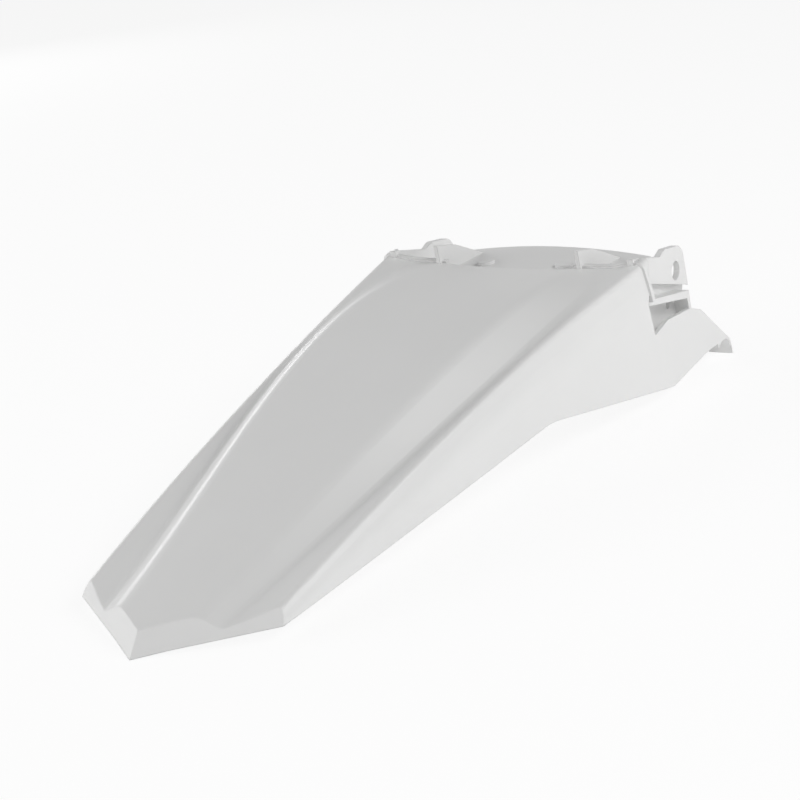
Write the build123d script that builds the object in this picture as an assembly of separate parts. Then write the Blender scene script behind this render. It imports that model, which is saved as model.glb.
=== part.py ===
"""Motorcycle rear fender: one injection-moulded shell with its mounting tabs and hooks.

The shell is designed in a deck frame: X runs forward from the tail tip along the deck's chord,
Y runs to the left and Z stands up from the chord. The finished solid is then laid down on its
tail lip and its two tube hooks, which is how it rests on a bench. All sizes are in millimetres.
"""
import math
import os

from build123d import *

# Skin
wall = 3.0
deck_length = 466.0

# Guide lines of the outer skin, each at the tail tip, one third, two thirds and the front edge
deck_edge_half = (25.0, 42.5, 58.0, 52.0)
deck_edge_height = (-0.5, 11.5, 18.0, -11.5)
deck_crown = (0.6, 1.2, 1.2, -1.8)
groove_half = (38.0, 61.0, 80.0, 82.0)
groove_height = (-7.5, -2.8, 0.6, -10.7)
crest_half = (63.0, 75.0, 87.5, 103.0)
crest_height = (-7.0, 1.7, 1.5, -6.5)
knee_flare = (4.0, 7.0, 7.5, 3.5)
knee_height = (-13.0, -9.0, -17.0, -31.0)
skirt_draft = 0.5

# How far each bend of the section reaches along its two sides
crown_reach = 0.9
bend_share = 0.45
deck_bend = 5.0
groove_bend = 3.0
crest_bend = (2.5, 3.0, 3.5, 5.0)
knee_bend = 9.0

# Tail: an arrow in plan, closed by a sloping lip
tail_sweep = 0.72
lip_run = 11.5
lip_drop = 9.5
lip_round = 1.5
tail_foot = -10.5

# Lower edge of the skirt, as (x, z) points of the side view
skirt_rear = (38.0, -12.0)
skirt_bend = (318.0, -47.0)
skirt_corner = (deck_length + 14.0, -111.0)
ear_heel = (deck_length + 74.0, -117.0)
skirt_bend_radius = 80.0
skirt_corner_radius = 7.0

# Side walls ahead of the deck
strip_width = 12.0
rim_width = 4.0
rim_height = 1.5
strip_top = -10.0
strip_foot = (deck_length - 4.0, -36.0)
notch_rear = (deck_length - 2.0, -61.0)
notch_middle = (deck_length + 21.0, -61.0)
notch_front = (deck_length + 60.0, -72.0)
ear_shoulder = (deck_length + 77.0, -82.0)
ear_radius = 16.0

# Tube hook at the end of each ear
tube_diameter = 30.0
hook_wall = 3.2
hook_centre = (deck_length + 105.0, -139.0)
hook_width = 18.0
hook_back = 8.0

# Under-seat tongue and the riser that joins it to the deck
tongue_length = 73.0
tongue_slope = 12.0
tongue_top = -16.5
tongue_arch_radius = 520.0
tongue_shoulder = 16.0
tongue_front_half = 76.0
riser_wall = 3.5

# Seat ribs on the tongue, as (x, z) points of their top edge
rib_half = 55.0
rib_wall = 3.0
rib_rear = (deck_length - 3.0, 4.0)
rib_middle = (deck_length + 22.0, -7.0)
rib_front = (deck_length + 68.0, -38.0)

# Mounting tabs with their grommet eyes, shelves and bolt holes
tab_half = 98.0
tab_wall = 4.5
tab_top_rear = (deck_length, -3.0)
tab_top_front = (deck_length + 42.0, -22.0)
tab_peak = (deck_length + 51.0, -20.5)
tab_nose = (deck_length + 81.0, -31.0)
tab_nose_radius = 14.0
tab_foot = (deck_length + 68.0, -92.0)
tab_step = 4.5
step_rear = (deck_length, -21.5)
step_front = (deck_length + 81.0, -64.0)
step_web = 2.5
eye_centre = (deck_length + 64.0, -44.0)
eye_bore = 14.0
bolt_bore = 6.6
bolt_centre = (deck_length + 52.0, -65.3)
shelf_wall = 4.5
shelf_rear = (deck_length, -34.5)
shelf_front = (deck_length + 68.0, -61.5)
shelf_width = 6.0
shelf_drop = 18.0

# Low pads on the tongue
pad_place = (deck_length + 22.0, 32.0)
pad_diameter = 13.0
pad_height = 2.5

# Section stations and spare lengths of the cutting tools
station_count = 7
tail_overrun = 45.0
front_overrun = 150.0
deep = 190.0
reach = 2 * deep


def guide(values, x):
    """Height or half width at x, on the cubic through the four values of a guide line."""
    t = x / deck_length
    knots = (0.0, 1 / 3, 2 / 3, 1.0)
    total = 0.0
    for i, value in enumerate(values):
        weight = 1.0
        for j, knot in enumerate(knots):
            if j != i:
                weight *= (t - knot) / (knots[i] - knot)
        total += value * weight
    return total


def half_section(x):
    """Corners of the outer skin from the middle of the deck to the foot of the skirt."""
    edge = guide(deck_edge_height, x)
    knee = (guide(crest_half, x) + guide(knee_flare, x), guide(knee_height, x))
    foot = knee[0] + math.tan(math.radians(skirt_draft)) * (knee[1] + deep)
    return [
        (0.0, edge + 2 * guide(deck_crown, x)),
        (guide(deck_edge_half, x), edge),
        (guide(groove_half, x), guide(groove_height, x)),
        (guide(crest_half, x), guide(crest_height, x)),
        knee,
        (foot, -deep),
    ]


def direction(a, b):
    length = math.dist(a, b)
    return ((b[0] - a[0]) / length, (b[1] - a[1]) / length)


def inset_corner(before, corner, after, depth):
    """A corner moved inward by the wall, with the change that this makes to its bend's reach."""
    d1 = direction(before, corner)
    d2 = direction(corner, after)
    turn = math.atan2(d1[0] * d2[1] - d1[1] * d2[0], d1[0] * d2[0] + d1[1] * d2[1])
    shift = depth * math.tan(turn / 2)
    moved = (corner[0] + depth * d1[1] + shift * d1[0], corner[1] - depth * d1[0] + shift * d1[1])
    return moved, shift


def soft_section(x, depth):
    """Closed wire of the section at x, inset by depth, with every corner eased to a curve."""
    right = half_section(x)
    left = [(-y, z) for y, z in reversed(right[1:])]
    corners = left + right
    bends = [knee_bend, max(guide(crest_bend, x), 0.8), groove_bend, deck_bend]
    foot_reach = wall + 1.0
    reaches = [foot_reach] + bends + [0.0] + bends[::-1] + [foot_reach]

    points = []
    for i, corner in enumerate(corners):
        if i in (0, len(corners) - 1):
            side = 1 if i == 0 else -1
            points.append((corner[0] + side * depth, corner[1] - depth))
            continue
        moved, shift = inset_corner(corners[i - 1], corner, corners[i + 1], depth)
        points.append(moved)
        shorter = min(math.dist(corners[i - 1], corner), math.dist(corner, corners[i + 1]))
        reaches[i] = max(min(reaches[i], bend_share * shorter) + shift, 0.3)
    middle = len(points) // 2
    reaches[middle] = crown_reach * (math.dist(points[middle], points[middle + 1]) - reaches[middle + 1])

    def place(point):
        return (x, point[0], point[1])

    def step(a, b, length):
        d = direction(a, b)
        return (a[0] + d[0] * length, a[1] + d[1] * length)

    edges = []
    start = points[0]
    for i in range(1, len(points) - 1):
        entry = step(points[i], points[i - 1], reaches[i])
        leave = step(points[i], points[i + 1], reaches[i])
        edges.append(Edge.make_line(place(start), place(entry)))
        edges.append(Edge.make_bezier(place(entry), place(points[i]), place(leave)))
        start = leave
    edges.append(Edge.make_line(place(start), place(points[-1])))
    edges.append(Edge.make_line(place(points[-1]), place(points[0])))
    return Wire(edges)


def skin_block(depth):
    """Solid under the skin, inset by depth, from behind the tail to beyond the ears."""
    places = [-tail_overrun]
    places += [deck_length * i / (station_count - 1) for i in range(station_count)]
    sections = [soft_section(x, depth) for x in places]
    body = Solid.make_loft(sections)
    nose = extrude(Face(sections[-1]), amount=front_overrun, dir=(1, 0, 0))
    return body + nose


def lip_planes():
    """The two planes of the tail's arrow-shaped lip, facing backward."""
    top = Vector(0, 0, guide(deck_edge_height, 0) + guide(deck_crown, 0))
    down_lip = Vector(-lip_run, 0, -lip_drop)
    right = Plane(origin=top, z_dir=down_lip.cross(Vector(tail_sweep, -1, 0)))
    left = Plane(origin=top, z_dir=Vector(tail_sweep, 1, 0).cross(down_lip))
    return right, left


def tail_cut(depth):
    """The two half spaces behind the lip, moved forward by depth."""
    tool = Box(reach, reach, reach, align=(Align.CENTER, Align.CENTER, Align.MIN))
    right, left = lip_planes()
    return right.offset(-depth) * tool + left.offset(-depth) * tool


def lip_edges(block):
    """The edges where the top of the skin turns down into the lip."""

    def lies_on(edge, plane):
        spots = [edge.position_at(share) - plane.origin for share in (0.0, 0.5, 1.0)]
        return all(abs(spot.dot(plane.z_dir)) < 0.02 for spot in spots)

    on_lip = [edge for edge in block.edges() if any(lies_on(edge, plane) for plane in lip_planes())]
    return [edge for edge in on_lip if edge.center().Z > tail_foot + lip_round]


def prism(points, low, high, rounds=()):
    """A side-view outline extruded across Y from low to high, with some of its corners rounded."""
    sketch = make_face(Polyline(*points, close=True))
    for point, radius in rounds:
        sketch = fillet(sketch.vertices().sort_by_distance(point)[0], radius)
    plane = Plane(origin=(0, high, 0), x_dir=(1, 0, 0), z_dir=(0, -1, 0))
    return extrude(plane * sketch, amount=high - low)


def disc(centre, radius, low, high):
    """A round bar across Y."""
    plane = Plane(origin=(centre[0], high, centre[1]), x_dir=(1, 0, 0), z_dir=(0, -1, 0))
    return extrude(plane * Circle(radius), amount=high - low)


def rest_angle():
    """Nose-up turn that brings the tail lip and the hook lips down to one level."""
    tip_height = guide(deck_edge_height, 0.0) + guide(deck_crown, 0.0)
    tail_tip = -lip_run * (tip_height - tail_foot) / lip_drop
    return math.degrees(math.atan2(tail_foot - hook_centre[1], hook_centre[0] - tail_tip))


def side_keep():
    """What is kept of the skin, seen from the side."""
    hook_radius = tube_diameter / 2 + hook_wall
    hook_x, hook_z = hook_centre
    top = deep
    points = [
        (-tail_overrun, tail_foot),
        (0.0, tail_foot),
        skirt_rear,
        skirt_bend,
        skirt_corner,
        ear_heel,
        (hook_x - hook_back, hook_z + hook_radius - 1.0),
        (hook_x - hook_back, hook_z),
        (hook_x + hook_radius - 1.0, hook_z - 4.0),
        (hook_x + 11.0, hook_z + 13.5),
        ear_shoulder,
        notch_front,
        notch_middle,
        notch_rear,
        strip_foot,
        (deck_length + strip_width, strip_top),
        (deck_length + strip_width, top),
        (-tail_overrun, top),
    ]
    rounds = [
        (skirt_bend, skirt_bend_radius),
        (skirt_corner, skirt_corner_radius),
        (ear_shoulder, ear_radius),
    ]
    return prism(points, -reach, reach, rounds)


def arch(depth):
    """The bar whose upper side is the tongue's arched top, lowered by depth."""
    axis = Plane(
        origin=(deck_length, 0, tongue_top - tongue_arch_radius / math.cos(math.radians(tongue_slope))),
        x_dir=(0, 1, 0),
        z_dir=(math.cos(math.radians(tongue_slope)), 0, -math.sin(math.radians(tongue_slope))),
    )
    return axis * Cylinder(tongue_arch_radius - depth, 2 * reach)


def tongue_plan():
    """Outline of the tongue seen from above: it draws in to leave room behind the grommet eyes."""
    back = deck_length - riser_wall
    side = tab_half - 1.0
    draw_in = side - tongue_front_half
    outline = make_face(
        Polyline(
            (back, side),
            (deck_length + tongue_shoulder, side),
            (deck_length + tongue_shoulder + draw_in, tongue_front_half),
            (deck_length + tongue_length, tongue_front_half),
            (deck_length + tongue_length, -tongue_front_half),
            (deck_length + tongue_shoulder + draw_in, -tongue_front_half),
            (deck_length + tongue_shoulder, -side),
            (back, -side),
            close=True,
        )
    )
    return Pos(0, 0, -100.0) * extrude(outline, amount=200.0)


def front_rim():
    """Raised flange round the front edge of each shoulder, from the deck's edge down to the skirt."""
    rim = extrude(Face(soft_section(deck_length, -rim_height)), amount=rim_width, dir=(1, 0, 0))
    rim -= extrude(Face(soft_section(deck_length, wall)), amount=rim_width, dir=(1, 0, 0))
    inboard = 2 * guide(deck_edge_half, deck_length)
    rim -= Pos(deck_length, 0, 0) * Box(reach, inboard, reach)
    above_foot = Box(2 * rim_width, reach, 100.0, align=(Align.CENTER, Align.CENTER, Align.MIN))
    return rim & (Pos(deck_length, 0, strip_foot[1]) * above_foot)


def hook():
    """Saddle over the top and front of a frame tube, on the right-hand ear."""
    high = -(tab_half + 8.5 - hook_width)
    low = high - hook_width
    ring = disc(hook_centre, tube_diameter / 2 + hook_wall, low, high)
    ahead = Box(tube_diameter, reach, reach, align=(Align.MIN, Align.CENTER, Align.CENTER))
    return ring & (Pos(hook_centre[0] - hook_back, 0, hook_centre[1]) * ahead)


def right_tab():
    """Stepped upright plate: the grommet eye above, a shelf and the bolt hole in the set-back half below."""
    outside = -tab_half
    step_face = outside + tab_step
    back = deck_length - 1.0
    web_rear = (back, step_rear[1] + step_web)
    web_front = (step_front[0], step_front[1] + step_web)
    top_edge = [(back, tab_top_rear[1]), tab_top_rear, tab_top_front, tab_peak, tab_nose]
    upper = prism(
        [(back, step_rear[1])] + top_edge + [step_front],
        outside,
        outside + tab_wall,
        [(tab_nose, tab_nose_radius), (tab_peak, tab_nose_radius / 3)],
    )
    web = prism([(back, step_rear[1]), web_rear, web_front, step_front], outside, step_face + tab_wall)
    lower = prism(
        [web_rear, web_front, step_front, tab_foot, (back, tab_foot[1] + shelf_drop)],
        step_face,
        step_face + tab_wall,
    )
    shelf_foot = shelf_front[1] - shelf_drop
    shelf = prism(
        [
            (back, shelf_rear[1]),
            shelf_front,
            (shelf_front[0], shelf_foot),
            (shelf_front[0] - shelf_wall, shelf_foot),
            (shelf_front[0] - shelf_wall, shelf_front[1] - shelf_wall),
            (back, shelf_rear[1] - shelf_wall),
        ],
        outside - shelf_width,
        step_face + 1.0,
    )
    tab = upper + web + lower + shelf
    tab -= disc(eye_centre, eye_bore / 2, -reach, 0)
    tab -= disc(bolt_centre, bolt_bore / 2, -reach, 0)
    return tab


def right_pad():
    """Low round pad on the tongue, on which the seat base bears."""
    column = Cylinder(pad_diameter / 2, 100.0)
    return (Pos(pad_place[0], -pad_place[1], tongue_top) * column) & (arch(-pad_height) - arch(wall / 2))


def right_rib():
    """Seat rib on the tongue."""
    return prism(
        [
            (rib_rear[0], -60.0),
            rib_rear,
            rib_middle,
            rib_front,
            (rib_front[0], -70.0),
        ],
        -rib_half - rib_wall,
        -rib_half,
    )


def build():
    """The whole fender as one solid, in the deck frame."""
    outer = skin_block(0.0) - tail_cut(0.0)
    outer = outer.fillet(lip_round, lip_edges(outer))
    inner = skin_block(wall) - tail_cut(wall)
    deck_cut = Pos(deck_length, 0, 0) * Box(
        reach, 2 * (guide(crest_half, deck_length) - 4.5), 80.0, align=(Align.MIN, Align.CENTER, Align.CENTER)
    )
    shell = (outer - inner) & side_keep()
    shell -= deck_cut

    below_tongue = arch(wall)
    riser = Box(riser_wall, 2 * reach, 100.0, align=(Align.MAX, Align.CENTER, Align.CENTER))
    riser = ((Pos(deck_length, 0, 0) * riser) & outer) - below_tongue
    tongue = (arch(0.0) - below_tongue) & tongue_plan()
    rib = right_rib() - below_tongue
    fender = shell + riser + tongue + front_rim()
    for piece in (rib, right_pad(), right_tab(), hook()):
        fender += piece
        fender += mirror(piece, about=Plane.XZ)
    hook_radius = tube_diameter / 2 + hook_wall
    bore = disc(hook_centre, tube_diameter / 2, -reach, reach)
    lip_cut = Pos(hook_centre[0], 0, hook_centre[1]) * Rot(0, rest_angle(), 0) * Box(
        2 * hook_radius + 1.0, 2 * reach, 2 * hook_radius, align=(Align.CENTER, Align.CENTER, Align.MAX)
    )
    return fender - bore - lip_cut


def laid_down(fender):
    """The fender turned nose up until it rests on its tail lip and hooks, standing on z = 0."""
    turned = Rot(0, -rest_angle(), 0) * fender
    box = turned.bounding_box()
    return Pos(-(box.min.X + box.max.X) / 2, -(box.min.Y + box.max.Y) / 2, -box.min.Z) * turned


rear_fender = laid_down(build())
os.makedirs("parts", exist_ok=True)
export_step(rear_fender, "parts/rear_fender.step")
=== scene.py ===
"""Studio picture of a white moulded motorcycle rear fender."""
import math

import bpy
from mathutils import Matrix, Vector

# Camera: behind the fender on its right-hand side, in metres and degrees, with the lens in millimetres
camera_place = Vector((-1.071, -0.6683, 0.4375))
camera_heading = 57.9
camera_dip = 17.0
camera_roll = 5.9
camera_lens = 90.0

# White plastic: clouding and flow marks from the mould, with grain and edge softness in metres
plastic_dark = (0.775, 0.776, 0.772, 1.0)
plastic_light = (0.825, 0.825, 0.82, 1.0)
plastic_ior = 1.49
cloud_scale = 9.0
cloud_detail = 3.0
flow_scale = 14.0
flow_detail = 4.0
flow_stretch = (0.35, 1.6, 1.6)
sheen_low = 0.26
sheen_high = 0.42
grain_scale = 900.0
grain_detail = 2.0
grain_strength = 0.04
grain_depth = 0.0004
edge_softness = 0.0008

# Studio room: a wide pale floor under soft light that is weaker overhead
pure_white = (1.0, 1.0, 1.0, 1.0)
floor_size = 30.0
floor_colour = (0.9, 0.9, 0.9, 1.0)
floor_roughness = 0.9
floor_glow = 0.85
floor_lift = 0.19
sky_top = 0.02
sky_side = 0.73

# Lamps, in metres and watts: a soft box on either side and a low strip that draws a glint on the far edge
left_box = {"place": (-1.3, 2.1, 1.05), "size": (2.6, 1.4), "power": 33.0}
right_box = {"place": (0.1, -1.9, 1.7), "size": (2.6, 0.9), "power": 32.0}
edge_strip = {"place": (1.65, 2.4, 0.6), "size": (1.1, 0.35), "power": 6.0}
lamp_aim = Vector((0.0, 0.0, 0.06))


def shader_tree(owner):
    """Two helpers for the owner's emptied node tree: one adds a node and one links two sockets."""
    owner.use_nodes = True
    tree = owner.node_tree
    tree.nodes.clear()

    def add(kind, operation=None, **inputs):
        node = tree.nodes.new(kind)
        if operation:
            node.operation = operation
        for name, value in inputs.items():
            node.inputs[name.replace("_", " ")].default_value = value
        return node

    return add, tree.links.new


def moulded_plastic():
    """Semi-gloss white polypropylene: faint clouds, uneven sheen, fine grain and softened edges."""
    material = bpy.data.materials.new("white_plastic")
    add, link = shader_tree(material)
    output = add("ShaderNodeOutputMaterial")
    surface = add("ShaderNodeBsdfPrincipled", IOR=plastic_ior)
    place = add("ShaderNodeTexCoord")

    # Clouding of the colour
    cloud = add("ShaderNodeTexNoise", Scale=cloud_scale, Detail=cloud_detail)
    tint = add("ShaderNodeValToRGB")
    tint.color_ramp.elements[0].color = plastic_dark
    tint.color_ramp.elements[1].color = plastic_light
    link(place.outputs["Object"], cloud.inputs["Vector"])
    link(cloud.outputs["Fac"], tint.inputs["Fac"])
    link(tint.outputs["Color"], surface.inputs["Base Color"])

    # Flow marks, drawn out along the fender, in the sheen
    along = add("ShaderNodeMapping", Scale=flow_stretch)
    flow = add("ShaderNodeTexNoise", Scale=flow_scale, Detail=flow_detail)
    sheen = add("ShaderNodeMapRange", To_Min=sheen_low, To_Max=sheen_high)
    link(place.outputs["Object"], along.inputs["Vector"])
    link(along.outputs["Vector"], flow.inputs["Vector"])
    link(flow.outputs["Fac"], sheen.inputs["Value"])
    link(sheen.outputs["Result"], surface.inputs["Roughness"])

    # Fine grain over softened edges
    edge = add("ShaderNodeBevel", Radius=edge_softness)
    grain = add("ShaderNodeTexNoise", Scale=grain_scale, Detail=grain_detail)
    bump = add("ShaderNodeBump", Strength=grain_strength, Distance=grain_depth)
    link(place.outputs["Object"], grain.inputs["Vector"])
    link(grain.outputs["Fac"], bump.inputs["Height"])
    link(edge.outputs["Normal"], bump.inputs["Normal"])
    link(bump.outputs["Normal"], surface.inputs["Normal"])
    link(surface.outputs["BSDF"], output.inputs["Surface"])
    return material


def floor_paint():
    """Pale paint that looks nearly white to the camera, in reflections and through clear things."""
    material = bpy.data.materials.new("floor_paint")
    add, link = shader_tree(material)
    output = add("ShaderNodeOutputMaterial")
    paint = add(
        "ShaderNodeBsdfPrincipled",
        Base_Color=floor_colour,
        Roughness=floor_roughness,
        Emission_Color=pure_white,
        Emission_Strength=floor_lift,
    )
    glow = add("ShaderNodeEmission", Color=pure_white, Strength=1.0)
    path = add("ShaderNodeLightPath")
    seen_or_mirrored = add("ShaderNodeMath", operation="MAXIMUM")
    seen_any_way = add("ShaderNodeMath", operation="MAXIMUM")
    share = add("ShaderNodeMath", operation="MULTIPLY")
    share.inputs[1].default_value = floor_glow
    mix = add("ShaderNodeMixShader")
    link(path.outputs["Is Camera Ray"], seen_or_mirrored.inputs[0])
    link(path.outputs["Is Glossy Ray"], seen_or_mirrored.inputs[1])
    link(seen_or_mirrored.outputs["Value"], seen_any_way.inputs[0])
    link(path.outputs["Is Transmission Ray"], seen_any_way.inputs[1])
    link(seen_any_way.outputs["Value"], share.inputs[0])
    link(share.outputs["Value"], mix.inputs["Fac"])
    link(paint.outputs["BSDF"], mix.inputs[1])
    link(glow.outputs["Emission"], mix.inputs[2])
    link(mix.outputs["Shader"], output.inputs["Surface"])
    return material


def pale_floor():
    """Wide plain floor, kept out of the part."""
    bpy.ops.mesh.primitive_plane_add(size=floor_size, location=(0.0, 0.0, 0.0))
    floor = bpy.context.object
    floor.name = "floor"
    floor.data.materials.append(floor_paint())


def studio_sky():
    """Soft light from all round, weaker from straight above."""
    world = bpy.data.worlds.new("studio")
    bpy.context.scene.world = world
    add, link = shader_tree(world)
    output = add("ShaderNodeOutputWorld")
    light = add("ShaderNodeBackground", Color=pure_white)
    place = add("ShaderNodeTexCoord")
    split = add("ShaderNodeSeparateXYZ")
    fade = add("ShaderNodeMapRange", To_Min=sky_side, To_Max=sky_top)
    link(place.outputs["Generated"], split.inputs["Vector"])
    link(split.outputs["Z"], fade.inputs["Value"])
    link(fade.outputs["Result"], light.inputs["Strength"])
    link(light.outputs["Background"], output.inputs["Surface"])


def soft_box(name, place, size, power):
    """Rectangular lamp aimed at the fender."""
    data = bpy.data.lights.new(name, "AREA")
    data.shape = "RECTANGLE"
    data.size, data.size_y = size
    data.energy = power
    lamp = bpy.data.objects.new(name, data)
    bpy.context.scene.collection.objects.link(lamp)
    lamp.location = place
    lamp.rotation_mode = "QUATERNION"
    lamp.rotation_quaternion = (lamp_aim - Vector(place)).to_track_quat("-Z", "Y")


def photo_camera():
    """Camera at the photograph's viewing angle."""
    data = bpy.data.cameras.new("photo_camera")
    data.lens = camera_lens
    camera = bpy.data.objects.new("photo_camera", data)
    bpy.context.scene.collection.objects.link(camera)
    heading = Matrix.Rotation(math.radians(-camera_heading), 4, "Z")
    pitch = Matrix.Rotation(math.radians(90.0 - camera_dip), 4, "X")
    roll = Matrix.Rotation(math.radians(-camera_roll), 4, "Z")
    camera.matrix_world = Matrix.Translation(camera_place) @ heading @ pitch @ roll
    bpy.context.scene.camera = camera


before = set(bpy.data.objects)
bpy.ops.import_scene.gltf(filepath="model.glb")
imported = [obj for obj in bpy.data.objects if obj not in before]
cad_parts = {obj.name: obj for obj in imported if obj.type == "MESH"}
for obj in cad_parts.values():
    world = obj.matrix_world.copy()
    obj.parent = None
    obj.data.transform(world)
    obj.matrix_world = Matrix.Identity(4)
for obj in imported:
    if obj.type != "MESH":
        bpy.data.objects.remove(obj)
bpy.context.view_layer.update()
bpy.context.scene.view_settings.view_transform = "Standard"

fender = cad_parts["rear_fender"]
fender.data.materials.clear()
fender.data.materials.append(moulded_plastic())

pale_floor()
studio_sky()
soft_box("left_box", **left_box)
soft_box("right_box", **right_box)
soft_box("edge_strip", **edge_strip)
photo_camera()
